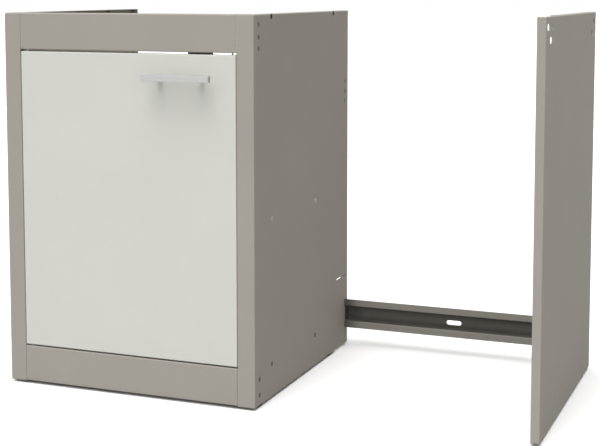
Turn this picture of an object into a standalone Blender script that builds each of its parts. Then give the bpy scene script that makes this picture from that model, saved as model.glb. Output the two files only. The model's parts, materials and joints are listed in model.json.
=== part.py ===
"""Kitchenette base unit of folded sheet steel.

On the left is a cabinet with a framed front, one inset door, two shelves, an open top and an open back.
On the right is an open appliance niche, closed by an end panel that a low rear rail ties to the cabinet.
The unit stands on six levelling feet, drawn here screwed all the way in.
All lengths are in metres. X runs to the right, Y to the back and Z up. The origin is on the floor, under
the centre of the unit's overall box.
"""

import math

import bmesh
import bpy
from mathutils import Matrix, Vector

# Whole unit
OVERALL_WIDTH = 1.200
DEPTH = 0.580
PANEL_HEIGHT = 0.827
CABINET_WIDTH = 0.600
END_PANEL_WIDTH = 0.018
FLOOR_GAP = 0.005  # from the floor to the panels, with the feet screwed in

# Sheet and clearances
SHEET = 0.0015
BEND_INSIDE = 0.0010
BEND_STEPS = 3
ROUND_PROFILE_SHARE = 0.5  # a circular arc, on every rounded edge
GAP = 0.0003  # between pieces that touch
JOINT_GAP = 0.0008  # between the stiles and the faces of the fascia and plinth
OVERRUN = 0.006  # how far a cut runs past the surface it opens
MERGE = 0.000001

# Side panels of the cabinet
STILE_WIDTH = 0.040
STILE_LIP = 0.014
REAR_FLANGE = 0.018
TOP_FLANGE = 0.018
BOTTOM_FLANGE = 0.026
TOP_SLOT_WIDTH = 0.013
TOP_SLOT_HEIGHT = 0.008
TOP_SLOT_FRONT_INSET = 0.096
TOP_SLOT_REAR_INSET = 0.104
TOP_TAB_SETBACK = 0.004  # from the bend to the tab behind a slot
TOP_TAB_MARGIN = 0.017  # how far the tab reaches past its slot, to each side
TOP_TAB_LENGTH = 0.005  # and how far below it
WORKTOP_HOLE_RADIUS = 0.003
WORKTOP_HOLE_SHARES = (0.30, 0.70)  # of the depth, from the front
KNOCKOUT_DEPTH = 0.080  # from the rear edge
KNOCKOUT_BASE = 0.023
KNOCKOUT_TOP = 0.1745
KNOCKOUT_SLIT = 0.003
KNOCKOUT_SIDE_SLIT = 0.0008
KNOCKOUT_TAB = 0.012

# Fascia and plinth between the side panels
FASCIA_HEIGHT = 0.080
FASCIA_DEPTH = 0.040
FASCIA_SCREW_SHARES = (0.115, 0.41, 0.74)  # of the fascia's height, from its lower edge
STOP_INSET = 0.0162  # from the opening's right edge to the door stop's middle
STOP_WIDTH = 0.0025
STOP_DEPTH = 0.003
STOP_OVERLAP = 0.0015  # how far the stop reaches down behind the door
PLINTH_TOP = 0.0825  # above the lower edge of the panels
PLINTH_DEPTH = 0.030
PLINTH_SCREW_SHARES = (0.259, 0.686)  # of the plinth's height, from its lower edge
FRONT_SCREW_INSET = 0.026

# Shelves
SHELF_FLANGE = 0.025
BOTTOM_SHELF_DEPTH = 0.400
MIDDLE_SHELF_INSET = 0.058  # from the front
MIDDLE_SHELF_DEPTH = 0.322
MIDDLE_SHELF_TOP = 0.403  # above the lower edge of the panels
BOTTOM_SHELF_SCREW_FRONT = 0.063  # from the shelf's own edges
BOTTOM_SHELF_SCREW_REAR = 0.077
BOTTOM_SHELF_SCREW_DROP = 0.010  # below the shelf's top
MIDDLE_SHELF_SCREW_FRONT = 0.037
MIDDLE_SHELF_SCREW_REAR = 0.025
MIDDLE_SHELF_SCREW_DROP = 0.0125

# Rear rails of the cabinet and of the niche
RAIL_BASE = 0.042
RAIL_HEIGHT = 0.071
RAIL_LIP = 0.017
CABINET_RAIL_DEPTH = 0.036
NICHE_RAIL_DEPTH = 0.020
UPPER_RAIL_TOP = 0.676
UPPER_RAIL_HEIGHT = 0.080
UPPER_RAIL_SCREW_SHARES = (0.15, 0.43, 0.75)
UPPER_RAIL_SCREW_INSET = 0.022  # from the rear edge
RAIL_SLOT_LENGTH = 0.037
RAIL_SLOT_HEIGHT = 0.011
RAIL_SLOT_INSET = 0.275  # from the cabinet to the middle of the slot
RAIL_SLOT_SHARE = 0.44  # of the rail's height
SLOT_END_STEPS = 8

# End panel fixing holes, near its two upper corners
END_SLOT_WIDTH = 0.0215
END_SLOT_HEIGHT = 0.0135
END_UPPER_SLOT_INSET = 0.023
END_UPPER_SLOT_DROP = 0.0205  # from the top to the middle of the slot
END_LOWER_SLOT_INSET = 0.049
END_LOWER_SLOT_DROP = 0.046
END_HOLE_RADIUS = 0.004
END_HOLE_INSET = 0.070
END_HOLE_DROP = 0.023
END_FLANGE_START = 0.130  # from the front, where the top flange begins

# Door
DOOR_THICKNESS = 0.018
DOOR_SHEET = 0.0010
DOOR_BEND = 0.0020
DOOR_HINGE_GAP = 0.0012
DOOR_FREE_GAP = 0.0008
DOOR_TOP_GAP = 0.0041
DOOR_BOTTOM_GAP = 0.003

# Door pivots
PIVOT_INSET = 0.014  # from the door's left edge
PIVOT_SETBACK = 0.007  # behind the door's front
PIN_RADIUS = 0.003
PIN_HEAD_RADIUS = 0.005
PIN_HEAD_HEIGHT = 0.002
BUSH_RADIUS = 0.0045
BUSH_LENGTH = 0.014
BUSH_FLANGE_RADIUS = 0.0055
UPPER_BUSH_FLANGE = 0.0012
PIVOT_PLATE_THICKNESS = 0.0025
PIVOT_PLATE_LENGTH = 0.042
PIVOT_PLATE_DEPTH = 0.024
PIVOT_PLATE_BEND = 0.0006

# Bar handle
HANDLE_PROJECTION = 0.035
BAR_LENGTH = 0.156
BAR_DEPTH = 0.012
BAR_HEIGHT = 0.014
BAR_ROUNDING = 0.0008
POST_SPACING = 0.098
POST_RADIUS = 0.006
POST_HOLE_DEPTH = 0.013
HANDLE_FROM_TOP = 0.0492  # from the door's top edge to the bar's centre
HANDLE_FROM_SIDE = 0.1247  # from the door's right edge to the bar's centre

# Magnetic catch under the fascia
CATCH_WIDTH = 0.052
CATCH_DEPTH = 0.0165
CATCH_HEIGHT = 0.018
CATCH_ROUNDING = 0.0012
CATCH_INSET = 0.134  # from the cabinet's right side to the catch's centre
MAGNET_WIDTH = 0.040
MAGNET_DEPTH = 0.010
MAGNET_HEIGHT = 0.009
MAGNET_BASE = 0.003  # above the housing's lower edge
STRIKE_WIDTH = 0.044
STRIKE_HEIGHT = 0.011
STRIKE_THICKNESS = 0.0012

# Levelling feet
FOOT_RADIUS = 0.011
FOOT_ROUNDING = 0.0008
STUD_RADIUS = 0.004
STUD_LENGTH = 0.032
STUD_CHAMFER = 0.0008
NUT_FLATS = 0.013
NUT_HEIGHT = 0.0065
FOOT_FRONT_INSET = 0.039
FOOT_REAR_INSET = 0.118
END_FOOT_RADIUS = 0.007
END_FOOT_FRONT_INSET = 0.045
END_FOOT_REAR_INSET = 0.080

# Screws and bolts
SCREW_HEAD_RADIUS = 0.0055
SCREW_HEAD_HEIGHT = 0.0012
SCREW_RADIUS = 0.002
SCREW_LENGTH = 0.012
RECESS_LENGTH = 0.0056
RECESS_WIDTH = 0.0010
RECESS_DEPTH = 0.0008
PAN_HEIGHT = 0.002
PAN_ROUNDING = 0.0006
BOLT_RADIUS = 0.003
BOLT_HEAD_RADIUS = 0.005
BOLT_LENGTH = 0.007
ROUND_STEPS = 20
SMOOTH_ANGLE = math.radians(35)
FLAT = 0.999  # a face is flat-on to an axis where this much of its normal lies along it

# Places worked out from the sizes above
BEND = SHEET + BEND_INSIDE
LEFT = -OVERALL_WIDTH / 2
RIGHT = OVERALL_WIDTH / 2
CABINET_RIGHT = LEFT + CABINET_WIDTH
FRONT = (HANDLE_PROJECTION - DEPTH) / 2
BACK = FRONT + DEPTH
BASE = FLOOR_GAP
TOP = BASE + PANEL_HEIGHT
OPENING_LEFT = LEFT + STILE_WIDTH
OPENING_RIGHT = CABINET_RIGHT - STILE_WIDTH
OPENING_BASE = BASE + PLINTH_TOP
OPENING_TOP = TOP - FASCIA_HEIGHT
PLINTH_BASE = BASE + SHEET + GAP
INNER_LEFT = LEFT + SHEET + GAP
INNER_RIGHT = CABINET_RIGHT - SHEET - GAP
INNER_BACK = BACK - SHEET - GAP
DOOR_LEFT = OPENING_LEFT + DOOR_HINGE_GAP
DOOR_RIGHT = OPENING_RIGHT - DOOR_FREE_GAP
DOOR_BASE = OPENING_BASE + DOOR_BOTTOM_GAP
DOOR_TOP = OPENING_TOP - DOOR_TOP_GAP
DOOR_REAR = FRONT + DOOR_THICKNESS
BOTTOM_SHELF_FRONT = FRONT + PLINTH_DEPTH + GAP
BOTTOM_SHELF_REAR = BOTTOM_SHELF_FRONT + BOTTOM_SHELF_DEPTH
MIDDLE_SHELF_FRONT = FRONT + MIDDLE_SHELF_INSET
MIDDLE_SHELF_REAR = MIDDLE_SHELF_FRONT + MIDDLE_SHELF_DEPTH
FOOT_FRONT_Y = FRONT + FOOT_FRONT_INSET
FOOT_REAR_Y = BACK - FOOT_REAR_INSET
END_FOOT_FRONT_Y = FRONT + END_FOOT_FRONT_INSET
END_FOOT_REAR_Y = BACK - END_FOOT_REAR_INSET
PIVOT_X = DOOR_LEFT + PIVOT_INSET
PIVOT_Y = FRONT + PIVOT_SETBACK
HANDLE_X = DOOR_RIGHT - HANDLE_FROM_SIDE
HANDLE_Z = DOOR_TOP - HANDLE_FROM_TOP
BAR_REAR = FRONT - HANDLE_PROJECTION + BAR_DEPTH

ORIGIN = (0, 0, 0)

# Colour, roughness and metallic value of each finish
FINISHES = {
    "carcass": ((0.37, 0.34, 0.31), 0.55, 0.0),
    "door": ((0.66, 0.66, 0.63), 0.45, 0.0),
    "core": ((0.55, 0.42, 0.27), 0.9, 0.0),
    "handle": ((0.62, 0.62, 0.61), 0.35, 0.9),
    "zinc": ((0.60, 0.60, 0.58), 0.35, 1.0),
    "dark_zinc": ((0.07, 0.07, 0.07), 0.4, 0.8),
    "nylon": ((0.75, 0.75, 0.72), 0.5, 0.0),
    "black_plastic": ((0.02, 0.02, 0.02), 0.5, 0.0),
    "magnet": ((0.10, 0.10, 0.11), 0.6, 0.3),
}

SIDES = {
    "left": Vector((-1, 0, 0)),
    "right": Vector((1, 0, 0)),
    "front": Vector((0, -1, 0)),
    "back": Vector((0, 1, 0)),
    "bottom": Vector((0, 0, -1)),
    "top": Vector((0, 0, 1)),
}


def clear_scene():
    for obj in list(bpy.data.objects):
        bpy.data.objects.remove(obj)


def paint(obj, finish):
    """Gives the object its own material in the named finish."""
    color, roughness, metallic = FINISHES[finish]
    material = bpy.data.materials.new(obj.name)
    material.use_nodes = True
    material.diffuse_color = (*color, 1)
    shader = material.node_tree.nodes["Principled BSDF"]
    shader.inputs["Base Color"].default_value = (*color, 1)
    shader.inputs["Roughness"].default_value = roughness
    shader.inputs["Metallic"].default_value = metallic
    obj.data.materials.clear()
    obj.data.materials.append(material)


def place(name, mesh, at, turn=None):
    """An object of this mesh at a point, with its own Z axis turned to a direction."""
    obj = bpy.data.objects.new(name, mesh)
    obj.location = at
    if turn is not None:
        obj.rotation_euler = SIDES["top"].rotation_difference(turn).to_euler()
    bpy.context.scene.collection.objects.link(obj)
    return obj


def mesh_of(name, bm, flat_sided=False):
    """The finished mesh, shaded smooth. On a flat-sided shape only the rounded edges are."""
    mesh = bpy.data.meshes.new(name)
    for face in bm.faces:
        face.smooth = not flat_sided or all(abs(part) < FLAT for part in face.normal)
    bm.to_mesh(mesh)
    bm.free()
    mesh.set_sharp_from_angle(angle=SMOOTH_ANGLE)
    return mesh


def cuboid(low, high):
    """A bmesh box between two corners. Its points are exactly there, so that flush faces of two boxes agree."""
    bm = bmesh.new()
    bmesh.ops.create_cube(bm, size=1)
    for vert in bm.verts:
        vert.co = [far if along > 0 else near for along, near, far in zip(vert.co, low, high)]
    bm.normal_update()
    return bm


def box(name, low, high, rounding=0, steps=2):
    """A solid box between two corners, with its edges rounded."""
    bm = cuboid(low, high)
    if rounding:
        bmesh.ops.bevel(
            bm,
            geom=bm.edges[:],
            offset=rounding,
            segments=steps,
            profile=ROUND_PROFILE_SHARE,
            affect="EDGES",
        )
    bm.normal_update()
    return place(name, mesh_of(name, bm, flat_sided=True), ORIGIN)


def folded(name, low, high, sides, sheet=SHEET, bend=BEND):
    """Sheet folded along the named sides of a box. The sheet lies inside the box, and its folds are round."""
    bm = cuboid(low, high)
    kept = [SIDES[side] for side in sides]
    open_faces = [face for face in bm.faces if all(face.normal.dot(side) < 0.9 for side in kept)]
    bmesh.ops.delete(bm, geom=open_faces, context="FACES")
    folds = [edge for edge in bm.edges if len(edge.link_faces) == 2]
    bmesh.ops.bevel(
        bm, geom=folds, offset=bend, segments=BEND_STEPS, profile=ROUND_PROFILE_SHARE, affect="EDGES"
    )
    bm.normal_update()
    obj = place(name, mesh_of(name, bm, flat_sided=True), ORIGIN)
    walls = obj.modifiers.new("sheet", "SOLIDIFY")
    walls.thickness = sheet
    walls.offset = -1
    walls.use_even_offset = True
    return obj


def turned_mesh(name, profile, steps=ROUND_STEPS):
    """A profile of (radius, height) pairs turned about Z. It starts and ends on the axis, or closes on itself."""
    bm = bmesh.new()
    points = [bm.verts.new((radius, 0, height)) for radius, height in profile]
    lines = [bm.edges.new(pair) for pair in zip(points, points[1:])]
    if profile[0][0] > 0:
        lines.append(bm.edges.new((points[-1], points[0])))
    bmesh.ops.spin(
        bm, geom=points + lines, axis=(0, 0, 1), cent=(0, 0, 0), steps=steps, angle=math.tau, use_merge=True
    )
    bmesh.ops.remove_doubles(bm, verts=bm.verts, dist=MERGE)
    bmesh.ops.recalc_face_normals(bm, faces=bm.faces)
    return mesh_of(name, bm)


def prism_mesh(name, outline, depth):
    """An outline of (x, y) pairs drawn out along Z, from 0 to the depth."""
    bm = bmesh.new()
    face = bm.faces.new([bm.verts.new((x, y, 0)) for x, y in outline])
    grown = bmesh.ops.extrude_face_region(bm, geom=[face])
    top = [item for item in grown["geom"] if isinstance(item, bmesh.types.BMVert)]
    bmesh.ops.translate(bm, vec=(0, 0, depth), verts=top)
    bmesh.ops.recalc_face_normals(bm, faces=bm.faces)
    return mesh_of(name, bm)


def slot_outline(length, height):
    """The outline of a slot with round ends, about its middle."""
    radius = height / 2
    turns = [math.pi * (n / SLOT_END_STEPS - 0.5) for n in range(SLOT_END_STEPS + 1)]
    end = [(length / 2 - radius + radius * math.cos(turn), radius * math.sin(turn)) for turn in turns]
    return end + [(-x, -y) for x, y in end]


def combine(target, tool, operation="DIFFERENCE"):
    """Cuts the tool from the target, or joins it on. The tool itself stays out of the render."""
    tool.hide_render = True
    tool.display_type = "WIRE"
    step = target.modifiers.new(tool.name, "BOOLEAN")
    step.operation = operation
    step.object = tool


def cut_box(target, low, high):
    combine(target, box(f"{target.name}.cut{len(target.modifiers)}", low, high))


def settled_mesh(obj):
    """The object's mesh with its modifiers applied, for copies that share it."""
    bpy.context.view_layer.update()
    graph = bpy.context.evaluated_depsgraph_get()
    return bpy.data.meshes.new_from_object(obj.evaluated_get(graph))


def joined_tool(name, tools):
    """One cutter made of several, which must not touch each other."""
    bpy.context.view_layer.update()
    bm = bmesh.new()
    for tool in tools:
        start = len(bm.verts)
        bm.from_mesh(tool.data)
        bm.verts.ensure_lookup_table()
        bmesh.ops.transform(bm, matrix=tool.matrix_world, verts=bm.verts[start:])
        bpy.data.objects.remove(tool)
    return place(name, mesh_of(name, bm), ORIGIN)


# Screws and bolts


def pan_headed(name, at, headward, radius, head_radius, length, finish):
    """A pan-headed screw or bolt, its head's underside at the point."""
    profile = [
        (0, PAN_HEIGHT),
        (head_radius - PAN_ROUNDING, PAN_HEIGHT),
        (head_radius, PAN_HEIGHT - PAN_ROUNDING),
        (head_radius, 0),
        (radius, 0),
        (radius, -length),
        (0, -length),
    ]
    piece = place(name, turned_mesh(name, profile), at, headward)
    paint(piece, finish)
    return piece


def bolt(name, at, headward, length):
    """A bolt of the niche rail, and the cutter of its hole."""
    pan_headed(name, at, headward, BOLT_RADIUS, BOLT_HEAD_RADIUS, length, "dark_zinc")
    bore, end = BOLT_RADIUS + GAP, -length - OVERRUN
    hole = turned_mesh(f"{name}.hole", [(0, 0), (bore, 0), (bore, end), (0, end)])
    return place(f"{name}.hole", hole, at, headward)


def screw_places():
    """(name, Y, Z) of each screw through a side panel of the cabinet."""
    front = FRONT + FRONT_SCREW_INSET
    fascia = [OPENING_TOP + share * FASCIA_HEIGHT for share in FASCIA_SCREW_SHARES]
    plinth = [PLINTH_BASE + share * (OPENING_BASE - PLINTH_BASE) for share in PLINTH_SCREW_SHARES]
    bottom = OPENING_BASE - BOTTOM_SHELF_SCREW_DROP
    middle = BASE + MIDDLE_SHELF_TOP - MIDDLE_SHELF_SCREW_DROP
    return [
        *((f"fascia_screw_{n}", front, z) for n, z in enumerate(fascia, 1)),
        *((f"plinth_screw_{n}", front, z) for n, z in enumerate(plinth, 1)),
        ("bottom_shelf_screw_1", BOTTOM_SHELF_FRONT + BOTTOM_SHELF_SCREW_FRONT, bottom),
        ("bottom_shelf_screw_2", BOTTOM_SHELF_REAR - BOTTOM_SHELF_SCREW_REAR, bottom),
        ("middle_shelf_screw_1", MIDDLE_SHELF_FRONT + MIDDLE_SHELF_SCREW_FRONT, middle),
        ("middle_shelf_screw_2", MIDDLE_SHELF_REAR - MIDDLE_SHELF_SCREW_REAR, middle),
    ]


def rail_screw_places():
    """The same for the screws of the upper rear rail, of which only the holes are drawn."""
    base = BASE + UPPER_RAIL_TOP - UPPER_RAIL_HEIGHT
    y = BACK - UPPER_RAIL_SCREW_INSET
    return [("upper_rail_screw", y, base + UPPER_RAIL_HEIGHT * share) for share in UPPER_RAIL_SCREW_SHARES]


def screw_mesh():
    """A flat-headed screw with a cross recess, its head's top at the origin."""
    tip = SCREW_RADIUS / 2
    body = place(
        "screw",
        turned_mesh(
            "screw",
            [
                (0, 0),
                (SCREW_HEAD_RADIUS, 0),
                (SCREW_RADIUS, -SCREW_HEAD_HEIGHT),
                (SCREW_RADIUS, tip - SCREW_LENGTH),
                (tip, -SCREW_LENGTH),
                (0, -SCREW_LENGTH),
            ],
        ),
        ORIGIN,
    )
    long, short = RECESS_LENGTH / 2, RECESS_WIDTH / 2
    quarter = [(long, -short), (long, short), (short, short)]
    cross = []
    for turn in range(4):
        spin = Matrix.Rotation(turn * math.pi / 2, 2)
        cross += [tuple(spin @ Vector(point)) for point in quarter]
    recess = place("screw.recess", prism_mesh("recess", cross, RECESS_DEPTH + OVERRUN), (0, 0, -RECESS_DEPTH))
    combine(body, recess)
    mesh = settled_mesh(body)
    for helper in (body, recess):
        bpy.data.objects.remove(helper)
    return mesh


def countersink_mesh():
    """The hole that such a screw needs: a cone that widens past the outer face, then a plain hole."""
    shaft = SCREW_RADIUS + GAP
    wide = shaft + 2 * (SCREW_HEAD_RADIUS - SCREW_RADIUS)
    return turned_mesh(
        "countersink",
        [
            (0, SCREW_HEAD_HEIGHT),
            (wide, SCREW_HEAD_HEIGHT),
            (shaft, -SCREW_HEAD_HEIGHT),
            (shaft, -SCREW_LENGTH - OVERRUN),
            (0, -SCREW_LENGTH - OVERRUN),
        ],
    )


def side_screws(side, *more_holes):
    """The screws of one side panel, and one cutter with all the holes of that side."""
    x = LEFT if side == "left" else CABINET_RIGHT
    outward = SIDES[side]
    mesh = screw_mesh()
    hole = countersink_mesh()
    for name, y, z in screw_places():
        screw = place(f"{name}_{side}", mesh.copy(), (x, y, z), outward)
        paint(screw, "dark_zinc")
    holes = [
        place(f"hole{n}", hole, (x, y, z), outward)
        for n, (_, y, z) in enumerate(screw_places() + rail_screw_places())
    ]
    return joined_tool(f"{side}_screw_holes", [*holes, *more_holes])


# Carcass


def foot_hole(target, x, y):
    """A hole for a foot's stud in the bottom flange of a panel."""
    reach = SHEET + OVERRUN
    profile = [(0, -reach), (STUD_RADIUS + GAP, -reach), (STUD_RADIUS + GAP, reach), (0, reach)]
    name = f"{target.name}.foot_hole{len(target.modifiers)}"
    combine(target, place(name, turned_mesh(name, profile), (x, y, BASE)))


def side_panel(side, holes):
    """A side panel of the cabinet, whose front flange is the stile."""
    sign = 1 if side == "left" else -1
    face = LEFT if side == "left" else CABINET_RIGHT

    def span(near, far):
        """Lowest and highest X between two distances in from the panel's outer face."""
        return sorted((face + sign * near, face + sign * far))

    def cut(near, far, y, z):
        low, high = span(near, far)
        cut_box(panel, (low, y[0], z[0]), (high, y[1], z[1]))

    low, high = span(0, STILE_WIDTH)
    panel = folded(
        f"{side}_side_panel",
        (low, FRONT, BASE),
        (high, BACK, TOP),
        ("front", "back", "bottom", "top", side),
    )
    paint(panel, "carcass")
    past = STILE_WIDTH + OVERRUN
    behind_stile = FRONT + BEND
    reach = BEND + OVERRUN
    cut(REAR_FLANGE, past, (BACK - reach, BACK + OVERRUN), (BASE - OVERRUN, TOP + OVERRUN))
    cut(TOP_FLANGE, past, (behind_stile, BACK + OVERRUN), (TOP - reach, TOP + OVERRUN))
    cut(BOTTOM_FLANGE, past, (behind_stile, BACK + OVERRUN), (BASE - OVERRUN, BASE + reach))

    # The top flange starts behind the fascia, and the bottom flange ends before the knock-out.
    fascia_end = FRONT + FASCIA_DEPTH + GAP
    cut(SHEET, past, (FRONT + SHEET, fascia_end), (TOP - BEND, TOP + OVERRUN))
    knockout_front = BACK - KNOCKOUT_DEPTH
    cut(SHEET, past, (knockout_front - OVERRUN, BACK + OVERRUN), (BASE - OVERRUN, BASE + BEND))

    # The knock-out for pipes is outlined by slits, with tabs between them.
    slit_rear = BACK - BEND - GAP
    top = BASE + KNOCKOUT_TOP
    cut(-OVERRUN, reach, (knockout_front, slit_rear), (top - KNOCKOUT_SLIT, top))
    half = (KNOCKOUT_TOP - KNOCKOUT_BASE) / 2
    for start in (KNOCKOUT_BASE, KNOCKOUT_BASE + half):
        z = (BASE + start, BASE + start + half - KNOCKOUT_TAB)
        cut(-OVERRUN, reach, (knockout_front, knockout_front + KNOCKOUT_SIDE_SLIT), z)

    # Each slot in the upper edge has a tab of the top flange folded down behind it.
    slot_base = TOP - BEND - TOP_SLOT_HEIGHT
    for middle in (FRONT + TOP_SLOT_FRONT_INSET, BACK - TOP_SLOT_REAR_INSET):
        half = TOP_SLOT_WIDTH / 2
        cut(-OVERRUN, BEND, (middle - half, middle + half), (slot_base, TOP + OVERRUN))
        half += TOP_TAB_MARGIN
        low, high = span(BEND + TOP_TAB_SETBACK, BEND + TOP_TAB_SETBACK + SHEET)
        tab = box(
            f"{side}_side_panel.tab{len(panel.modifiers)}",
            (low, middle - half, slot_base - TOP_TAB_LENGTH),
            (high, middle + half, TOP - SHEET / 2),
        )
        combine(panel, tab, "UNION")

    # A lip stiffens the stile along the door opening.
    lip_base, lip_top = OPENING_BASE + GAP, OPENING_TOP - GAP
    cut(STILE_WIDTH - BEND, past, (FRONT - OVERRUN, behind_stile), (lip_base, lip_top))
    low, high = span(STILE_WIDTH - BEND - OVERRUN, STILE_WIDTH)
    lip = folded(
        f"{side}_side_panel.lip",
        (low, FRONT, lip_base),
        (high, FRONT + STILE_LIP, lip_top),
        ("front", "right" if side == "left" else "left"),
    )
    combine(panel, lip, "UNION")

    across = face + sign * (SHEET + TOP_FLANGE) / 2
    profile = [(0, -reach), (WORKTOP_HOLE_RADIUS, -reach), (WORKTOP_HOLE_RADIUS, reach), (0, reach)]
    worktop_holes = [
        place(f"worktop_hole{n}", turned_mesh("hole", profile), (across, FRONT + share * DEPTH, TOP))
        for n, share in enumerate(WORKTOP_HOLE_SHARES)
    ]
    combine(panel, joined_tool(f"{side}_worktop_holes", worktop_holes))
    for y in (FOOT_FRONT_Y, FOOT_REAR_Y):
        foot_hole(panel, face + sign * BOTTOM_FLANGE / 2, y)
    combine(panel, holes)


def end_panel(bolt_hole):
    """The outer panel of the niche: one skin with a flange all round."""
    panel = folded(
        "end_panel",
        (RIGHT - END_PANEL_WIDTH, FRONT, BASE),
        (RIGHT, BACK, TOP),
        ("front", "back", "bottom", "top", "right"),
    )
    paint(panel, "carcass")
    outline = [(y, x) for x, y in slot_outline(END_SLOT_WIDTH, END_SLOT_HEIGHT)]
    through = BEND + GAP + OVERRUN
    slots = ((END_UPPER_SLOT_INSET, END_UPPER_SLOT_DROP), (END_LOWER_SLOT_INSET, END_LOWER_SLOT_DROP))
    for edge, inward in ((FRONT, 1), (BACK, -1)):
        for inset, drop in slots:
            name = f"end_panel.slot{len(panel.modifiers)}"
            at = (RIGHT - BEND - GAP, edge + inward * inset, TOP - drop)
            combine(panel, place(name, prism_mesh(name, outline, through), at, SIDES["right"]))
        profile = [(0, -BEND), (END_HOLE_RADIUS, -BEND), (END_HOLE_RADIUS, OVERRUN), (0, OVERRUN)]
        name = f"end_panel.hole{len(panel.modifiers)}"
        at = (RIGHT, edge + inward * END_HOLE_INSET, TOP - END_HOLE_DROP)
        combine(panel, place(name, turned_mesh(name, profile), at, SIDES["right"]))
    cut_box(
        panel,
        (RIGHT - END_PANEL_WIDTH - OVERRUN, FRONT + SHEET, TOP - BEND),
        (RIGHT - SHEET, FRONT + END_FLANGE_START, TOP + OVERRUN),
    )
    for y in (END_FOOT_FRONT_Y, END_FOOT_REAR_Y):
        foot_hole(panel, RIGHT - END_PANEL_WIDTH / 2, y)
    combine(panel, bolt_hole)


def cross_member(name, base, top, depth):
    """The fascia or the plinth: a face between the stiles, and flanges that run behind them to the sides."""
    face = folded(
        name,
        (OPENING_LEFT + JOINT_GAP, FRONT, base),
        (OPENING_RIGHT - JOINT_GAP, FRONT + depth, top),
        ("front", "bottom", "top"),
    )
    paint(face, "carcass")
    behind_stile = FRONT + BEND + GAP
    flanges = folded(
        f"{name}.flanges",
        (INNER_LEFT, behind_stile, base),
        (INNER_RIGHT, FRONT + depth, top),
        ("left", "right", "bottom", "top"),
    )
    combine(face, flanges, "UNION")
    return face


def shelf(name, front, rear, top):
    """A shelf with its four edges folded down."""
    piece = folded(
        name,
        (INNER_LEFT, front, top - SHELF_FLANGE),
        (INNER_RIGHT, rear, top),
        ("left", "right", "front", "back", "top"),
    )
    paint(piece, "carcass")
    return piece


def rear_rail(name, low, high, lip):
    """A channel open to the front, with lips above and below and closed ends."""
    rail = folded(name, low, high, tuple(SIDES))
    paint(rail, "carcass")
    cut_box(
        rail,
        (low[0] + BEND, low[1] - OVERRUN, low[2] + lip),
        (high[0] - BEND, low[1] + BEND + GAP, high[2] - lip),
    )
    return rail


def hat_rail(name, low, high, lip):
    """A channel open to the front between two flat lips, with a tab across its left end."""
    web = high[1] - SHEET
    channel_base, channel_top = low[2] + lip, high[2] - lip
    # The line runs along the face that is seen from the front, and the sheet lies behind it.
    section = [
        (low[1], high[2]),
        (low[1], channel_top),
        (web, channel_top),
        (web, channel_base),
        (low[1], channel_base),
        (low[1], low[2]),
    ]
    bm = bmesh.new()
    near, far = ([bm.verts.new((x, y, z)) for y, z in section] for x in (low[0], high[0]))
    for (a, b), (d, c) in zip(zip(near, near[1:]), zip(far, far[1:])):
        bm.faces.new((a, b, c, d))
    folds = [edge for edge in bm.edges if len(edge.link_faces) == 2]
    bmesh.ops.bevel(
        bm, geom=folds, offset=BEND, segments=BEND_STEPS, profile=ROUND_PROFILE_SHARE, affect="EDGES"
    )
    bm.normal_update()
    rail = place(name, mesh_of(name, bm, flat_sided=True), ORIGIN)
    paint(rail, "carcass")
    walls = rail.modifiers.new("sheet", "SOLIDIFY")
    walls.thickness = SHEET
    walls.offset = -1
    walls.use_even_offset = True
    tab = box(
        f"{name}.tab",
        (low[0], low[1] + BEND + GAP, channel_base - SHEET / 2),
        (low[0] + SHEET, high[1] - SHEET / 2, channel_top + SHEET / 2),
    )
    combine(rail, tab, "UNION")
    return rail


def door_stop(fascia):
    """A small tab of the fascia that reaches down behind the door's free corner."""
    middle = OPENING_RIGHT - STOP_INSET
    front = DOOR_REAR + GAP
    tab = box(
        "door_stop",
        (middle - STOP_WIDTH / 2, front, DOOR_TOP - STOP_OVERLAP),
        (middle + STOP_WIDTH / 2, front + STOP_DEPTH, OPENING_TOP + SHEET / 2),
    )
    combine(fascia, tab, "UNION")


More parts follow.
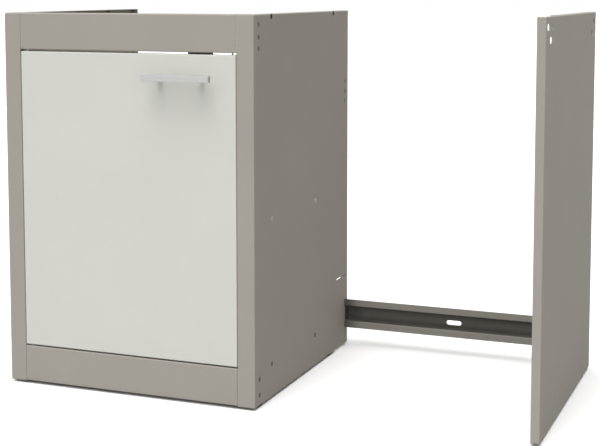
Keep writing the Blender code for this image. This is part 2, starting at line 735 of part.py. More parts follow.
def carcass():
    rail_base, rail_top = BASE + RAIL_BASE, BASE + RAIL_BASE + RAIL_HEIGHT
    niche_front = INNER_BACK - NICHE_RAIL_DEPTH
    bolt_z = (rail_base + rail_top) / 2
    left_at = (CABINET_RIGHT + GAP + SHEET + GAP, niche_front + NICHE_RAIL_DEPTH / 2, bolt_z)
    left_bolt_hole = bolt("niche_rail_bolt_left", left_at, SIDES["right"], BOLT_LENGTH)
    right_at = (RIGHT - END_PANEL_WIDTH / 2, INNER_BACK - SHEET - GAP, bolt_z)
    two_sheets = GAP + SHEET + GAP + SHEET
    right_bolt_hole = bolt("niche_rail_bolt_right", right_at, SIDES["front"], two_sheets)

    left_holes = side_screws("left")
    right_holes = side_screws("right", left_bolt_hole)
    side_panel("left", left_holes)
    side_panel("right", right_holes)
    end_panel(right_bolt_hole)

    fascia = cross_member("top_fascia", OPENING_TOP, TOP, FASCIA_DEPTH)
    door_stop(fascia)
    plinth = cross_member("plinth", PLINTH_BASE, OPENING_BASE, PLINTH_DEPTH)
    bottom = shelf("bottom_shelf", BOTTOM_SHELF_FRONT, BOTTOM_SHELF_REAR, OPENING_BASE)
    middle = shelf("middle_shelf", MIDDLE_SHELF_FRONT, MIDDLE_SHELF_REAR, BASE + MIDDLE_SHELF_TOP)

    cabinet_rail_front = INNER_BACK - CABINET_RAIL_DEPTH
    upper_top = BASE + UPPER_RAIL_TOP
    upper = rear_rail(
        "upper_rear_rail",
        (INNER_LEFT, cabinet_rail_front, upper_top - UPPER_RAIL_HEIGHT),
        (INNER_RIGHT, INNER_BACK, upper_top),
        RAIL_LIP,
    )
    lower = rear_rail(
        "lower_rear_rail",
        (INNER_LEFT, cabinet_rail_front, rail_base),
        (INNER_RIGHT, INNER_BACK, rail_top),
        RAIL_LIP,
    )
    for piece in (fascia, plinth, bottom, middle, upper, lower):
        combine(piece, left_holes)
        combine(piece, right_holes)

    niche_right = RIGHT - BEND - GAP
    niche = hat_rail(
        "niche_rail",
        (CABINET_RIGHT + GAP, niche_front, rail_base),
        (niche_right, INNER_BACK, rail_top),
        RAIL_LIP,
    )
    slot_x = CABINET_RIGHT + RAIL_SLOT_INSET
    slot_z = rail_base + RAIL_SLOT_SHARE * RAIL_HEIGHT
    outline = slot_outline(RAIL_SLOT_LENGTH, RAIL_SLOT_HEIGHT)
    slot = place(
        "niche_rail.slot",
        prism_mesh("niche_rail.slot", outline, BEND + GAP + OVERRUN),
        (slot_x, INNER_BACK - BEND - GAP, slot_z),
        SIDES["back"],
    )
    for cutter in (slot, right_holes, right_bolt_hole):
        combine(niche, cutter)
    return fascia, plinth


# Door


def door_leaf():
    skin = folded(
        "door_front_skin",
        (DOOR_LEFT, FRONT, DOOR_BASE),
        (DOOR_RIGHT, DOOR_REAR, DOOR_TOP),
        ("front", "left", "right", "bottom", "top"),
        DOOR_SHEET,
        DOOR_BEND,
    )
    paint(skin, "door")
    inset = DOOR_SHEET + GAP
    back_front = DOOR_REAR - DOOR_SHEET
    back = box(
        "door_back_panel",
        (DOOR_LEFT + inset, back_front, DOOR_BASE + inset),
        (DOOR_RIGHT - inset, DOOR_REAR, DOOR_TOP - inset),
        GAP,
        1,
    )
    paint(back, "door")
    core_inset = DOOR_BEND + GAP
    core_low = (DOOR_LEFT + core_inset, FRONT + inset, DOOR_BASE + core_inset)
    core_high = (DOOR_RIGHT - core_inset, back_front - GAP, DOOR_TOP - core_inset)
    core = box("door_core", core_low, core_high)
    paint(core, "core")
    notch_right = PIVOT_X + BUSH_RADIUS + GAP
    notch = BUSH_LENGTH + GAP
    for z in ((DOOR_TOP - notch, DOOR_TOP), (DOOR_BASE, DOOR_BASE + notch)):
        cut_box(core, (DOOR_LEFT, FRONT, z[0]), (notch_right, DOOR_REAR, z[1]))
    sleeve = BUSH_RADIUS + GAP
    reach = DOOR_BEND + OVERRUN
    hole = [(0, -reach), (sleeve, -reach), (sleeve, reach), (0, reach)]
    for n, z in enumerate((DOOR_TOP, DOOR_BASE)):
        name = f"door_front_skin.hole{n}"
        combine(skin, place(name, turned_mesh(name, hole), (PIVOT_X, PIVOT_Y, z)))
    return skin, back, core


def pivot(level, edge, frame_face, upward):
    """A pin through the frame into a bush in the door's edge. `upward` points from the door to the frame."""
    up = upward.z
    opening_gap = abs(frame_face - edge)
    bush_flange = UPPER_BUSH_FLANGE if up > 0 else opening_gap - 2 * GAP
    bore = PIN_RADIUS + GAP
    bush = turned_mesh(
        f"{level}_pivot_bush",
        [
            (bore, -BUSH_LENGTH),
            (BUSH_RADIUS, -BUSH_LENGTH),
            (BUSH_RADIUS, GAP),
            (BUSH_FLANGE_RADIUS, GAP),
            (BUSH_FLANGE_RADIUS, GAP + bush_flange),
            (bore, GAP + bush_flange),
        ],
    )
    bush_piece = place(f"{level}_pivot_bush", bush, (PIVOT_X, PIVOT_Y, edge), upward)
    paint(bush_piece, "nylon")

    plate_near = frame_face + up * (SHEET + GAP)
    plate_far = plate_near + up * PIVOT_PLATE_THICKNESS
    plate_left = PIVOT_X - PIVOT_PLATE_LENGTH / 3
    plate_front = FRONT + BEND + GAP
    plate = box(
        f"{level}_pivot_plate",
        (plate_left, plate_front, min(plate_near, plate_far)),
        (plate_left + PIVOT_PLATE_LENGTH, plate_front + PIVOT_PLATE_DEPTH, max(plate_near, plate_far)),
        PIVOT_PLATE_BEND,
    )
    paint(plate, "zinc")

    head = abs(plate_far - edge) + GAP
    pin = turned_mesh(
        f"{level}_pivot_pin",
        [
            (0, head + PIN_HEAD_HEIGHT),
            (PIN_HEAD_RADIUS, head + PIN_HEAD_HEIGHT),
            (PIN_HEAD_RADIUS, head),
            (PIN_RADIUS, head),
            (PIN_RADIUS, STUD_CHAMFER - BUSH_LENGTH),
            (PIN_RADIUS - STUD_CHAMFER, -BUSH_LENGTH),
            (0, -BUSH_LENGTH),
        ],
    )
    pin_piece = place(f"{level}_pivot_pin", pin, (PIVOT_X, PIVOT_Y, edge), upward)
    paint(pin_piece, "zinc")
    hole = [(0, 0), (bore, 0), (bore, head + OVERRUN), (0, head + OVERRUN)]
    name = f"{level}_pivot_plate.hole"
    cutter = place(name, turned_mesh(name, hole), (PIVOT_X, PIVOT_Y, edge), upward)
    combine(plate, cutter)
    return bush_piece, cutter


def handle(skin, back, core):
    low = HANDLE_Z - BAR_HEIGHT / 2
    high = HANDLE_Z + BAR_HEIGHT / 2
    face = BAR_REAR - BAR_DEPTH
    bar = box(
        "handle_bar",
        (HANDLE_X - BAR_LENGTH / 2, face, low),
        (HANDLE_X + BAR_LENGTH / 2, BAR_REAR, high),
        BAR_ROUNDING,
    )
    paint(bar, "handle")

    pieces = [bar]
    length = FRONT - GAP - (BAR_REAR + GAP)
    bore = SCREW_RADIUS + GAP
    post_mesh = turned_mesh(
        "handle_post",
        [
            (0, POST_HOLE_DEPTH),
            (bore, POST_HOLE_DEPTH),
            (bore, 0),
            (POST_RADIUS, 0),
            (POST_RADIUS, length),
            (0, length),
        ],
    )
    screw_length = DOOR_THICKNESS + GAP + GAP + POST_HOLE_DEPTH - SCREW_RADIUS
    for side, offset in (("left", -POST_SPACING / 2), ("right", POST_SPACING / 2)):
        x = HANDLE_X + offset
        post = place(f"handle_post_{side}", post_mesh.copy(), (x, FRONT - GAP, HANDLE_Z), SIDES["front"])
        paint(post, "handle")
        head_at = (x, DOOR_REAR + GAP, HANDLE_Z)
        name = f"handle_screw_{side}"
        screw = pan_headed(
            name, head_at, SIDES["back"], SCREW_RADIUS, SCREW_HEAD_RADIUS, screw_length, "zinc"
        )
        reach = DOOR_THICKNESS + OVERRUN
        hole = [(0, OVERRUN), (bore, OVERRUN), (bore, -reach), (0, -reach)]
        cutter = place(f"{name}.hole", turned_mesh(f"{name}.hole", hole), head_at, SIDES["back"])
        for target in (skin, back, core):
            combine(target, cutter)
        pieces += [post, screw]
    return pieces


def catch():
    """A magnet in a housing under the fascia, and its strike plate on the door."""
    x = CABINET_RIGHT - CATCH_INSET
    strike_front = DOOR_REAR + GAP
    face = strike_front + STRIKE_THICKNESS + GAP
    top = OPENING_TOP - GAP
    low = top - CATCH_HEIGHT
    housing = box(
        "catch_housing",
        (x - CATCH_WIDTH / 2, face, low),
        (x + CATCH_WIDTH / 2, face + CATCH_DEPTH, top),
        CATCH_ROUNDING,
    )
    paint(housing, "black_plastic")
    magnet_low = low + MAGNET_BASE
    cut_box(
        housing,
        (x - MAGNET_WIDTH / 2 - GAP, face - OVERRUN, magnet_low - GAP),
        (x + MAGNET_WIDTH / 2 + GAP, face + MAGNET_DEPTH + GAP, magnet_low + MAGNET_HEIGHT + GAP),
    )
    magnet = box(
        "catch_magnet",
        (x - MAGNET_WIDTH / 2, face, magnet_low),
        (x + MAGNET_WIDTH / 2, face + MAGNET_DEPTH, magnet_low + MAGNET_HEIGHT),
    )
    paint(magnet, "magnet")
    middle = magnet_low + MAGNET_HEIGHT / 2
    strike = box(
        "strike_plate",
        (x - STRIKE_WIDTH / 2, strike_front, middle - STRIKE_HEIGHT / 2),
        (x + STRIKE_WIDTH / 2, strike_front + STRIKE_THICKNESS, middle + STRIKE_HEIGHT / 2),
    )
    paint(strike, "zinc")
    return strike


def door(fascia, plinth):
    axis = bpy.data.objects.new("door_axis", None)
    axis.location = (PIVOT_X, PIVOT_Y, (DOOR_BASE + DOOR_TOP) / 2)
    bpy.context.scene.collection.objects.link(axis)
    skin, back, core = door_leaf()
    upper_bush, upper_hole = pivot("upper", DOOR_TOP, OPENING_TOP, SIDES["top"])
    lower_bush, lower_hole = pivot("lower", DOOR_BASE, OPENING_BASE, SIDES["bottom"])
    combine(fascia, upper_hole)
    combine(plinth, lower_hole)
    moving = [skin, back, core, upper_bush, lower_bush, *handle(skin, back, core), catch()]
    bpy.context.view_layer.update()
    for piece in moving:
        piece.parent = axis
        piece.matrix_parent_inverse = axis.matrix_world.inverted()


# Feet


def foot_mesh(radius):
    """A moulded disc on a threaded stud, its underside at the origin."""
    height = FLOOR_GAP - GAP
    top = height + STUD_LENGTH
    return turned_mesh(
        "levelling_foot",
        [
            (0, 0),
            (radius - FOOT_ROUNDING, 0),
            (radius, FOOT_ROUNDING),
            (radius, height - FOOT_ROUNDING),
            (radius - FOOT_ROUNDING, height),
            (STUD_RADIUS, height),
            (STUD_RADIUS, top - STUD_CHAMFER),
            (STUD_RADIUS - STUD_CHAMFER, top),
            (0, top),
        ],
    )


def nut_mesh():
    corner = NUT_FLATS / math.sqrt(3)
    # Two of the flats face along X, so that the nut fits inside the end panel.
    turns = [(n + 0.5) * math.pi / 3 for n in range(6)]
    outline = [(corner * math.cos(turn), corner * math.sin(turn)) for turn in turns]
    body = place("nut", prism_mesh("nut", outline, NUT_HEIGHT), ORIGIN)
    bore = STUD_RADIUS + GAP
    profile = [(0, -OVERRUN), (bore, -OVERRUN), (bore, NUT_HEIGHT + OVERRUN), (0, NUT_HEIGHT + OVERRUN)]
    hole = place("nut.hole", turned_mesh("nut.hole", profile), ORIGIN)
    combine(body, hole)
    mesh = settled_mesh(body)
    for helper in (body, hole):
        bpy.data.objects.remove(helper)
    return mesh


def feet():
    nut = nut_mesh()
    rows = (
        ("left", LEFT + BOTTOM_FLANGE / 2, FOOT_RADIUS, FOOT_FRONT_Y, FOOT_REAR_Y),
        ("middle", CABINET_RIGHT - BOTTOM_FLANGE / 2, FOOT_RADIUS, FOOT_FRONT_Y, FOOT_REAR_Y),
        ("end", RIGHT - END_PANEL_WIDTH / 2, END_FOOT_RADIUS, END_FOOT_FRONT_Y, END_FOOT_REAR_Y),
    )
    for row, x, radius, front_y, rear_y in rows:
        for end, y in (("front", front_y), ("rear", rear_y)):
            foot = place(f"levelling_foot_{row}_{end}", foot_mesh(radius), (x, y, 0))
            paint(foot, "black_plastic")
            holder = place(f"foot_nut_{row}_{end}", nut.copy(), (x, y, BASE + SHEET + GAP))
            paint(holder, "zinc")


def main():
    clear_scene()
    fascia, plinth = carcass()
    door(fascia, plinth)
    feet()


main()
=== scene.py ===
"""Looks of the kitchenette base unit: finishes, the upper rear rail's screws, studio and camera.

All lengths are in metres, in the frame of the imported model. Colours are linear.
"""

import json
import math

import bmesh
import bpy
from mathutils import Matrix, Vector


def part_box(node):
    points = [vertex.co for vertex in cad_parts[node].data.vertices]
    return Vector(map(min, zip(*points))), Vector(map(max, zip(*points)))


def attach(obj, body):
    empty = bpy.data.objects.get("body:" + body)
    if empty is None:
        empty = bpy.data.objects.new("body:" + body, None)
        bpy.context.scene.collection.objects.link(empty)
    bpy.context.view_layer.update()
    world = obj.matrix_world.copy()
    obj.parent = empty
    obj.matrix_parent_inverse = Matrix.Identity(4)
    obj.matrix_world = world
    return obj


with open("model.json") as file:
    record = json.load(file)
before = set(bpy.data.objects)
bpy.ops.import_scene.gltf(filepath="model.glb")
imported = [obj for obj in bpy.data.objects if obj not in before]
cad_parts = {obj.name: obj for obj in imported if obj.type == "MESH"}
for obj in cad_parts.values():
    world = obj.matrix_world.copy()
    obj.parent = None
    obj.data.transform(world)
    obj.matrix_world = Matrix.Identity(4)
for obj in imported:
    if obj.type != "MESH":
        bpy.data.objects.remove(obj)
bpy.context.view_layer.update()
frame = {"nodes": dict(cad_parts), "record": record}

# Camera, solved on the model's own edges
CAMERA_AT = (1.0851, -2.7613, 0.8834)
CAMERA_DOWN = math.radians(5.285)
CAMERA_LEFT = math.radians(21.372)
FOCAL_PIXELS = 1325.1
IMAGE_WIDTH, IMAGE_HEIGHT = 600, 446
PRINCIPAL_POINT = (304.2, 111.8)  # pixels from the picture's top left corner
SENSOR = 36  # millimetres
CLIP_NEAR, CLIP_FAR = 0.05, 200

# Studio
WORLD_LEVEL = 0.55
WORLD_RIGHT_LEVEL = 0.0  # straight on the right
WORLD_FADE = (0.8, 0.92)  # X of the directions where the light starts to dim, and has dimmed
LAMPS = {  # each one's level, where it shines from and how wide it looks
    "key": (0.3, (-0.7, -1.0, 0.8), math.radians(25)),
    "fill": (0.46, (0.65, -0.76, 0.25), math.radians(40)),
    "top_rear": (1.9, (0, -0.15, 1), math.radians(55)),
    "top_middle": (0.75, (0, -0.4, 1), math.radians(22)),
    "top_front": (0.38, (0, -0.9, 1), math.radians(22)),
}
FLOOR_HALF = 40
FLOOR_ALBEDO = 0.42
FLOOR_SEEN = 1.0  # its colour to the camera, where the open floor comes out white
FLOOR_MOTTLE = 0.985  # the darkest share of that colour

# Coats: a lighter and a darker tone of each, and the paler tone of its specks and rubbed edges, which on
# the edges is also a painted highlight
COAT = (0.372, 0.347, 0.309)
COAT_DARK = (0.352, 0.328, 0.292)
COAT_WORN_AND_HIGHLIGHT = (0.50, 0.48, 0.45)
# The niche rail's coat: a darker copy of the carcass coat, painted shade for its place deep in the niche
RAIL_SHADED_COAT = (0.29, 0.274, 0.243)
RAIL_SHADED_COAT_DARK = (0.274, 0.259, 0.23)
RAIL_SHADED_COAT_WORN_AND_HIGHLIGHT = (0.42, 0.40, 0.375)
PAINT = (0.645, 0.645, 0.6)
PAINT_DARK = (0.62, 0.62, 0.576)
PAINT_WORN_AND_HIGHLIGHT = (0.78, 0.78, 0.75)
COAT_PEEL = 0.00006  # depth of the orange peel
PAINT_PEEL = 0.00004
COAT_EDGE = 0.0016  # how wide an edge is rubbed paler, as wear and as a painted highlight on the bends
SEAM_SHADE = (0.012, 0.75, 0.15)  # reach of the painted shade in seams, and the open share where it starts and is darkest
SEAM_SHADE_SHARE = 0.35  # how much the painted shade darkens the coat at most
# The niche rail's channel: a wider reach and a darker painted shade
RAIL_SEAM_SHADE = (0.05, 0.96, 0.63)
RAIL_SEAM_SHADE_SHARE = 0.95

# Other finishes: how wide an edge is rubbed, how far the darkening in corners reaches, and the depth of
# the grain
HANDLE_EDGE = 0.0006
MOULDED_EDGE = 0.0005
PLATE_CORNER_REACH = 0.002
HANDLE_GRAIN = 0.00004
PLATE_GRAIN = 0.00003
MOULDED_GRAIN = 0.00006
FERRITE_GRAIN = 0.00008
FOOT_GRAIN = 0.00008
CELL_DEPTH = 0.002

# Levelling feet, in Z of each foot's own frame
STUD_START = (0.00475, 0.0049)  # where the disc's finish ends and the stud's starts
THREAD_PITCH = 0.00125
THREAD_DEPTH = 0.0006

# Screws of the upper rear rail
RAIL_SCREWS = (  # (Y, Z) of each, the same in both sides of the cabinet
    (0.2855, 0.6130),
    (0.2855, 0.6354),
    (0.2855, 0.6610),
)
HEAD_RADIUS = 0.0055
HEAD_HEIGHT = 0.0012
HEAD_CHAMFER = (0.0002, 0.0001)  # across and along the screw
SHAFT_RADIUS = 0.002
SHAFT_LENGTH = 0.010
CROSS_LONG = 0.0028  # half the length of the cross's arms
CROSS_SHORT = 0.0005  # half their width
CROSS_DEPTH = 0.0008
CUT_PAST = 0.002  # how far the cross's cutter stands out of the head
ROUND_STEPS = 24
WELD = 1e-6  # points closer than this become one
SMOOTH_ANGLE = math.radians(35)

# Sockets of the Mix node that hold its two colours and their mix
FIRST_COLOR, SECOND_COLOR, MIXED_COLOR = 6, 7, 2


# Materials


class Nodes:
    """A node tree and short ways to add to it. Most give back the socket that holds their result."""

    def __init__(self, tree):
        self.tree = tree

    def feed(self, socket, value):
        """Links the value to the socket if it is a socket too, and else sets it there."""
        if isinstance(value, bpy.types.NodeSocket):
            self.tree.links.new(value, socket)
        else:
            socket.default_value = value

    def add(self, kind, inputs=None, **settings):
        """A new node itself, with its inputs fed and its settings made."""
        node = self.tree.nodes.new(kind)
        for key, value in settings.items():
            setattr(node, key, value)
        for key, value in (inputs or {}).items():
            self.feed(node.inputs[key], value)
        return node

    def ramp(self, value, low, high, start=0.0, end=1.0):
        """The value, spread from low..high to start..end."""
        inputs = {"Value": value, "From Min": low, "From Max": high, "To Min": start, "To Max": end}
        return self.add("ShaderNodeMapRange", inputs).outputs["Result"]

    def math(self, operation, first, second):
        return self.add("ShaderNodeMath", {0: first, 1: second}, operation=operation).outputs["Value"]

    def mix(self, share, first, second):
        """The first colour where the share is 0, and the second where it is 1."""
        node = self.add("ShaderNodeMix", {0: share}, data_type="RGBA")
        for number, color in ((FIRST_COLOR, first), (SECOND_COLOR, second)):
            opaque = color if isinstance(color, bpy.types.NodeSocket) else (*color, 1)
            self.feed(node.inputs[number], opaque)
        return node.outputs[MIXED_COLOR]

    def plain_sight(self):
        """1 for what the camera, gloss and glass see, and 0 for what only lights."""
        path = self.add("ShaderNodeLightPath").outputs
        gloss = self.math("MAXIMUM", path["Is Glossy Ray"], path["Is Transmission Ray"])
        return self.math("MAXIMUM", path["Is Camera Ray"], gloss)


class Surface(Nodes):
    """A procedural material. Its patterns keep to the object as it moves."""

    def __init__(self, name):
        self.material = bpy.data.materials.new(name)
        self.material.use_nodes = True
        super().__init__(self.material.node_tree)
        self.shader = self.tree.nodes["Principled BSDF"]
        self.place = self.add("ShaderNodeTexCoord").outputs["Object"]

    def set(self, **values):
        for key, value in values.items():
            self.feed(self.shader.inputs[key.replace("_", " ")], value)

    def stretched(self, scale):
        return self.add("ShaderNodeMapping", {"Vector": self.place, "Scale": scale}).outputs["Vector"]

    def noise(self, scale, detail, roughness, at=None):
        inputs = {"Vector": at or self.place, "Scale": scale, "Detail": detail, "Roughness": roughness}
        return self.add("ShaderNodeTexNoise", inputs).outputs["Fac"]

    def bump(self, height, depth, strength=1.0, over=None):
        inputs = {"Height": height, "Distance": depth, "Strength": strength}
        if over is not None:
            inputs["Normal"] = over
        return self.add("ShaderNodeBump", inputs).outputs["Normal"]

    def edge_mask(self, radius):
        """About 1 on edges and corners sharper than the radius, and 0 on flats."""
        rounded = self.add("ShaderNodeBevel", {"Radius": radius}, samples=6).outputs["Normal"]
        flat = self.add("ShaderNodeNewGeometry").outputs["Normal"]
        agree = self.add("ShaderNodeVectorMath", {0: rounded, 1: flat}, operation="DOT_PRODUCT")
        return self.ramp(agree.outputs["Value"], 0.995, 0.88)

    def crevice_mask(self, distance, start=SEAM_SHADE[1], end=SEAM_SHADE[2]):
        """About 1 deep in corners and seams, and 0 in the open."""
        shade = self.add("ShaderNodeAmbientOcclusion", {"Distance": distance}, samples=8)
        return self.ramp(shade.outputs["AO"], start, end)


def powder_coat(name, light, dark, worn_and_highlight, peel, seam_shade=SEAM_SHADE, shade_share=SEAM_SHADE_SHARE):
    """Baked powder coat: a fine orange peel, a faint mottle, painted shade in the seams, and edges rubbed
    paler as wear and as a painted highlight.
    """
    look = Surface(name)
    mottle = look.ramp(look.noise(4.5, 4, 0.6), 0.3, 0.7)
    color = look.mix(mottle, dark, light)
    speck = look.ramp(look.noise(1400, 1, 0.5), 0.35, 0.65, 0.0, 0.05)
    color = look.mix(speck, color, worn_and_highlight)
    # Paler edges: wear, and a painted highlight on the bends
    edges = look.edge_mask(COAT_EDGE)
    pale_edges = look.math("MULTIPLY", edges, look.ramp(look.noise(60, 3, 0.6), 0.3, 0.7, 0.12, 0.4))
    color = look.mix(pale_edges, color, worn_and_highlight)
    # Painted shade: the coat turns darker where seams and recesses are occluded
    painted_shade = look.math("MULTIPLY", look.crevice_mask(*seam_shade), shade_share)
    color = look.mix(painted_shade, color, tuple(part * 0.35 for part in dark))
    scuffs = look.ramp(look.noise(35, 5, 0.65), 0.4, 0.75, 0.0, 0.08)
    roughness = look.math("ADD", look.ramp(look.noise(9, 3, 0.5), 0.25, 0.75, 0.68, 0.78), scuffs)
    look.set(
        Base_Color=color,
        Roughness=roughness,
        Specular_IOR_Level=0.03,
        Normal=look.bump(look.noise(420, 2, 0.5), peel),
    )
    return look.material


def brushed_aluminium():
    look = Surface("handle_brushed")
    grain = look.noise(1, 3, 0.6, look.stretched((18, 2600, 2600)))
    color = look.mix(look.ramp(grain, 0.3, 0.7), (0.43, 0.43, 0.427), (0.475, 0.475, 0.471))
    pale_edges = look.math("MULTIPLY", look.edge_mask(HANDLE_EDGE), 0.2)
    color = look.mix(pale_edges, color, (0.52, 0.52, 0.51))
    look.set(
        Base_Color=color,
        Metallic=0.8,
        Roughness=look.ramp(look.noise(120, 3, 0.6), 0.25, 0.75, 0.48, 0.58),
        Anisotropic=0.3,
        Normal=look.bump(grain, HANDLE_GRAIN, 0.6),
    )
    return look.material


def plated_steel(name, light, dark, roughness):
    """Zinc plate: a fine spangle, an uneven gloss and a darker tone where its corners are occluded."""
    look = Surface(name)
    spangle = look.add("ShaderNodeTexVoronoi", {"Vector": look.place, "Scale": 900}).outputs["Color"]
    red = look.add("ShaderNodeSeparateColor", {"Color": spangle}).outputs["Red"]
    tone = look.ramp(red, 0, 1, 0.2, 0.8)
    color = look.mix(tone, dark, light)
    # Darker where the plate is occluded, in its corners
    corner_darkening = look.math("MULTIPLY", look.crevice_mask(PLATE_CORNER_REACH), 0.5)
    color = look.mix(corner_darkening, color, tuple(part * 0.3 for part in dark))
    look.set(
        Base_Color=color,
        Metallic=1.0,
        Roughness=look.ramp(look.noise(700, 2, 0.5), 0.25, 0.75, roughness - 0.07, roughness + 0.09),
        Normal=look.bump(look.noise(1500, 2, 0.5), PLATE_GRAIN, 0.5),
    )
    return look.material


def foot():
    """A black moulded disc on a threaded steel stud, which starts where the disc ends."""
    look = Surface("levelling_foot")
    height = look.add("ShaderNodeSeparateXYZ", {"Vector": look.place}).outputs["Z"]
    stud = look.ramp(height, *STUD_START)
    grain = look.noise(1100, 3, 0.6)
    rubber = look.mix(look.ramp(grain, 0.3, 0.7), (0.014, 0.014, 0.014), (0.024, 0.024, 0.023))
    steel = look.mix(look.ramp(look.noise(500, 2, 0.5), 0.3, 0.7), (0.44, 0.44, 0.43), (0.56, 0.56, 0.55))
    thread = look.math("PINGPONG", look.math("MULTIPLY", height, 1 / THREAD_PITCH), 0.5)
    relief = look.mix(stud, (0, 0, 0), look.mix(thread, (0, 0, 0), (1, 1, 1)))
    skin = look.bump(grain, FOOT_GRAIN, 0.7)
    look.set(
        Base_Color=look.mix(stud, rubber, steel),
        Metallic=stud,
        Roughness=look.ramp(stud, 0, 1, 0.62, 0.36),
        Normal=look.bump(relief, THREAD_DEPTH, 1.0, skin),
    )
    return look.material


def moulded(name, light, dark, roughness, grain):
    """Moulded plastic with a fine spark-eroded grain."""
    look = Surface(name)
    cloud = look.ramp(look.noise(90, 3, 0.5), 0.3, 0.7)
    pale_edges = look.math("MULTIPLY", look.edge_mask(MOULDED_EDGE), 0.25)
    paler = tuple(min(1, part * 1.5 + 0.02) for part in light)
    color = look.mix(pale_edges, look.mix(cloud, dark, light), paler)
    look.set(
        Base_Color=color,
        Roughness=look.ramp(look.noise(300, 2, 0.5), 0.25, 0.75, roughness - 0.06, roughness + 0.06),
        Normal=look.bump(look.noise(grain, 2, 0.6), MOULDED_GRAIN, 0.7),
    )
    return look.material


def ferrite():
    look = Surface("magnet_ferrite")
    grain = look.noise(1600, 4, 0.7)
    chips = look.add("ShaderNodeTexVoronoi", {"Vector": look.place, "Scale": 420}).outputs["Distance"]
    color = look.mix(look.ramp(grain, 0.35, 0.65), (0.055, 0.055, 0.06), (0.12, 0.12, 0.125))
    look.set(
        Base_Color=color,
        Metallic=0.3,
        Roughness=look.ramp(chips, 0, 0.6, 0.5, 0.72),
        Normal=look.bump(grain, FERRITE_GRAIN, 0.8),
    )
    return look.material


def honeycomb_board():
    """The door's paper core, which only shows when the door is taken apart."""
    look = Surface("core_board")
    cells = look.add(
        "ShaderNodeTexVoronoi", {"Vector": look.place, "Scale": 90}, feature="DISTANCE_TO_EDGE"
    ).outputs["Distance"]
    fibre = look.noise(260, 4, 0.65)
    paper = look.mix(look.ramp(fibre, 0.3, 0.7), (0.40, 0.29, 0.18), (0.52, 0.40, 0.26))
    color = look.mix(look.ramp(cells, 0.0, 0.08), (0.62, 0.50, 0.34), paper)
    look.set(
        Base_Color=color,
        Roughness=look.ramp(fibre, 0, 1, 0.82, 0.96),
        Normal=look.bump(cells, CELL_DEPTH, 0.6),
    )
    return look.material


MATERIALS = {
    "carcass": powder_coat("carcass_coat", COAT, COAT_DARK, COAT_WORN_AND_HIGHLIGHT, COAT_PEEL),
    "door": powder_coat("door_coat", PAINT, PAINT_DARK, PAINT_WORN_AND_HIGHLIGHT, PAINT_PEEL),
    "core": honeycomb_board(),
    "handle": brushed_aluminium(),
    "zinc": plated_steel("zinc_plate", (0.44, 0.43, 0.41), (0.33, 0.325, 0.31), 0.42),
    "dark_zinc": plated_steel("dark_zinc_plate", (0.115, 0.111, 0.103), (0.08, 0.077, 0.072), 0.48),
    "nylon": moulded("nylon_bush", (0.17, 0.165, 0.155), (0.14, 0.136, 0.128), 0.48, 700),
    "black_plastic": moulded("grey_moulding", (0.20, 0.205, 0.19), (0.165, 0.17, 0.157), 0.5, 900),
    "magnet": ferrite(),
}
RAIL_SHADED_MATERIAL = powder_coat(
    "rail_shaded_coat", RAIL_SHADED_COAT, RAIL_SHADED_COAT_DARK, RAIL_SHADED_COAT_WORN_AND_HIGHLIGHT, COAT_PEEL, RAIL_SEAM_SHADE, RAIL_SEAM_SHADE_SHARE
)
# The middle shelf's screws: a zinc paler than the other screws, a painted highlight for the light they
# catch
SHELF_SCREW_HIGHLIGHT_MATERIAL = plated_steel("shelf_screw_highlight_zinc", (0.40, 0.38, 0.345), (0.30, 0.285, 0.26), 0.55)
FOOT_MATERIAL = foot()


def finish_of(name, slot):
    """A few pieces have a finish of their own, and the others have their slot's."""
    # The niche rail takes the darker copy of the coat, painted shade
    if name == "niche_rail":
        return RAIL_SHADED_MATERIAL
    # The middle shelf's screws take the paler zinc, a painted highlight
    if name.startswith("middle_shelf_screw"):
        return SHELF_SCREW_HIGHLIGHT_MATERIAL
    return FOOT_MATERIAL if name.startswith("levelling_foot") else MATERIALS[slot]


def dress_nodes():
    """Gives every node of the model the finish of its slot in the record."""
    for entry in frame["record"]["subparts"]:
        name, slot = entry["node"], entry["material_slot"]
        piece = frame["nodes"][name]
        piece.data.materials.clear()
        piece.data.materials.append(finish_of(name, slot))


# The upper rear rail's screws


def turned(bm, profile):
    """A profile of (radius, height) pairs turned about Z, closed at both ends on the axis."""
    points = [bm.verts.new((radius, 0, height)) for radius, height in profile]
    lines = [bm.edges.new(pair) for pair in zip(points, points[1:])]
    bmesh.ops.spin(
        bm,
        geom=points + lines,
        axis=(0, 0, 1),
        cent=(0, 0, 0),
        steps=ROUND_STEPS,
        angle=math.tau,
        use_merge=True,
    )
    bmesh.ops.remove_doubles(bm, verts=bm.verts, dist=WELD)
    bmesh.ops.recalc_face_normals(bm, faces=bm.faces)


def piece_of(name, bm, finish):
    mesh = bpy.data.meshes.new(name)
    for face in bm.faces:
        face.smooth = True
    bm.to_mesh(mesh)
    bm.free()
    mesh.set_sharp_from_angle(angle=SMOOTH_ANGLE)
    mesh.materials.append(finish)
    obj = bpy.data.objects.new(name, mesh)
    bpy.context.scene.collection.objects.link(obj)
    return obj


def aimed(direction):
    """The turn that brings Z to the direction."""
    return Vector((0, 0, 1)).rotation_difference(Vector(direction)).to_euler()


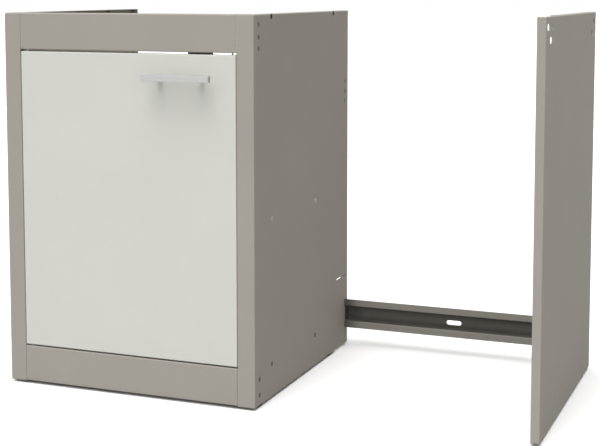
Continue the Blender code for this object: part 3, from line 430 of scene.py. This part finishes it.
def screw_mesh():
    """A flat-headed screw with a cross recess, its head's top at the origin."""
    body_bm = bmesh.new()
    profile = [
        (0, 0),
        (HEAD_RADIUS - HEAD_CHAMFER[0], 0),
        (HEAD_RADIUS, -HEAD_CHAMFER[1]),
        (SHAFT_RADIUS, -HEAD_HEIGHT),
        (SHAFT_RADIUS, -SHAFT_LENGTH),
        (0, -SHAFT_LENGTH),
    ]
    turned(body_bm, profile)
    body = piece_of("screw", body_bm, MATERIALS["dark_zinc"])
    cross_bm = bmesh.new()
    quarter = [(CROSS_LONG, -CROSS_SHORT), (CROSS_LONG, CROSS_SHORT), (CROSS_SHORT, CROSS_SHORT)]
    outline = []
    for turn in range(4):
        spin = Matrix.Rotation(turn * math.pi / 2, 2)
        outline += [spin @ Vector(point) for point in quarter]
    face = cross_bm.faces.new([cross_bm.verts.new((x, y, -CROSS_DEPTH)) for x, y in outline])
    grown = bmesh.ops.extrude_face_region(cross_bm, geom=[face])
    top = [item for item in grown["geom"] if isinstance(item, bmesh.types.BMVert)]
    bmesh.ops.translate(cross_bm, vec=(0, 0, CROSS_DEPTH + CUT_PAST), verts=top)
    bmesh.ops.recalc_face_normals(cross_bm, faces=cross_bm.faces)
    cross = piece_of("cross", cross_bm, MATERIALS["dark_zinc"])
    cut = body.modifiers.new("recess", "BOOLEAN")
    cut.object = cross
    bpy.context.view_layer.update()
    mesh = bpy.data.meshes.new_from_object(body.evaluated_get(bpy.context.evaluated_depsgraph_get()))
    for helper in (body, cross):
        bpy.data.objects.remove(helper)
    return mesh


def rail_screws():
    mesh = screw_mesh()
    left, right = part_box("left_side_panel")[0].x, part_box("right_side_panel")[1].x
    for side, x, outward in (("left", left, -1), ("right", right, 1)):
        for number, (y, z) in enumerate(RAIL_SCREWS, 1):
            screw = bpy.data.objects.new(f"rail_screw_{number}_{side}", mesh.copy())
            screw.location = (x, y, z)
            screw.rotation_euler = aimed((outward, 0, 0))
            bpy.context.scene.collection.objects.link(screw)
            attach(screw, "carcass")


# Studio and camera


def plain_world():
    """A pale light, even but for a dim patch on the right. The camera, gloss and glass see it as white."""
    world = bpy.data.worlds.new("studio")
    bpy.context.scene.world = world
    world.use_nodes = True
    nodes = Nodes(world.node_tree)
    nodes.tree.nodes.clear()
    direction = nodes.add("ShaderNodeTexCoord").outputs["Generated"]
    rightness = nodes.add("ShaderNodeSeparateXYZ", {"Vector": direction}).outputs["X"]
    level = nodes.ramp(rightness, *WORLD_FADE, WORLD_LEVEL, WORLD_RIGHT_LEVEL)
    shades = [
        nodes.add("ShaderNodeBackground", {"Color": (1, 1, 1, 1), "Strength": strength})
        for strength in (level, 1)
    ]
    light, white = (shade.outputs["Background"] for shade in shades)
    mixed = nodes.add("ShaderNodeMixShader", {0: nodes.plain_sight(), 1: light, 2: white})
    nodes.add("ShaderNodeOutputWorld", {"Surface": mixed.outputs["Shader"]})


def pale_floor():
    """A matt floor. The camera, gloss and glass see it as white, but it lights the rest as a grey."""
    bm = bmesh.new()
    bmesh.ops.create_grid(bm, x_segments=1, y_segments=1, size=FLOOR_HALF)
    look = Surface("studio_floor")
    tone = look.ramp(look.noise(2, 2, 0.5), 0.2, 0.8, FLOOR_MOTTLE, 1.0)
    level = look.mix(look.plain_sight(), (FLOOR_ALBEDO,) * 3, (FLOOR_SEEN,) * 3)
    matt = look.add("ShaderNodeBsdfDiffuse", {"Color": look.mix(tone, (0, 0, 0), level)})
    look.feed(look.tree.nodes["Material Output"].inputs["Surface"], matt.outputs["BSDF"])
    look.tree.nodes.remove(look.shader)
    floor = piece_of("studio_floor", bm, look.material)


def lamp(name, level, source, spread):
    light = bpy.data.lights.new(name, "SUN")
    light.energy = level
    light.angle = spread
    holder = bpy.data.objects.new(name, light)
    holder.location = source
    holder.rotation_euler = aimed(source)
    bpy.context.scene.collection.objects.link(holder)


def photo_camera():
    data = bpy.data.cameras.new("photo")
    data.sensor_width = SENSOR
    data.sensor_fit = "HORIZONTAL"
    data.lens = FOCAL_PIXELS / IMAGE_WIDTH * SENSOR
    data.shift_x = (IMAGE_WIDTH / 2 - PRINCIPAL_POINT[0]) / IMAGE_WIDTH
    data.shift_y = (PRINCIPAL_POINT[1] - IMAGE_HEIGHT / 2) / IMAGE_WIDTH
    data.clip_start, data.clip_end = CLIP_NEAR, CLIP_FAR
    camera = bpy.data.objects.new("photo", data)
    camera.location = CAMERA_AT
    camera.rotation_euler = (math.pi / 2 - CAMERA_DOWN, 0, CAMERA_LEFT)
    bpy.context.scene.collection.objects.link(camera)
    bpy.context.scene.camera = camera


dress_nodes()
rail_screws()
plain_world()
pale_floor()
for name, (level, source, spread) in LAMPS.items():
    lamp(name, level, source, spread)
photo_camera()
bpy.context.scene.view_settings.view_transform = "Standard"
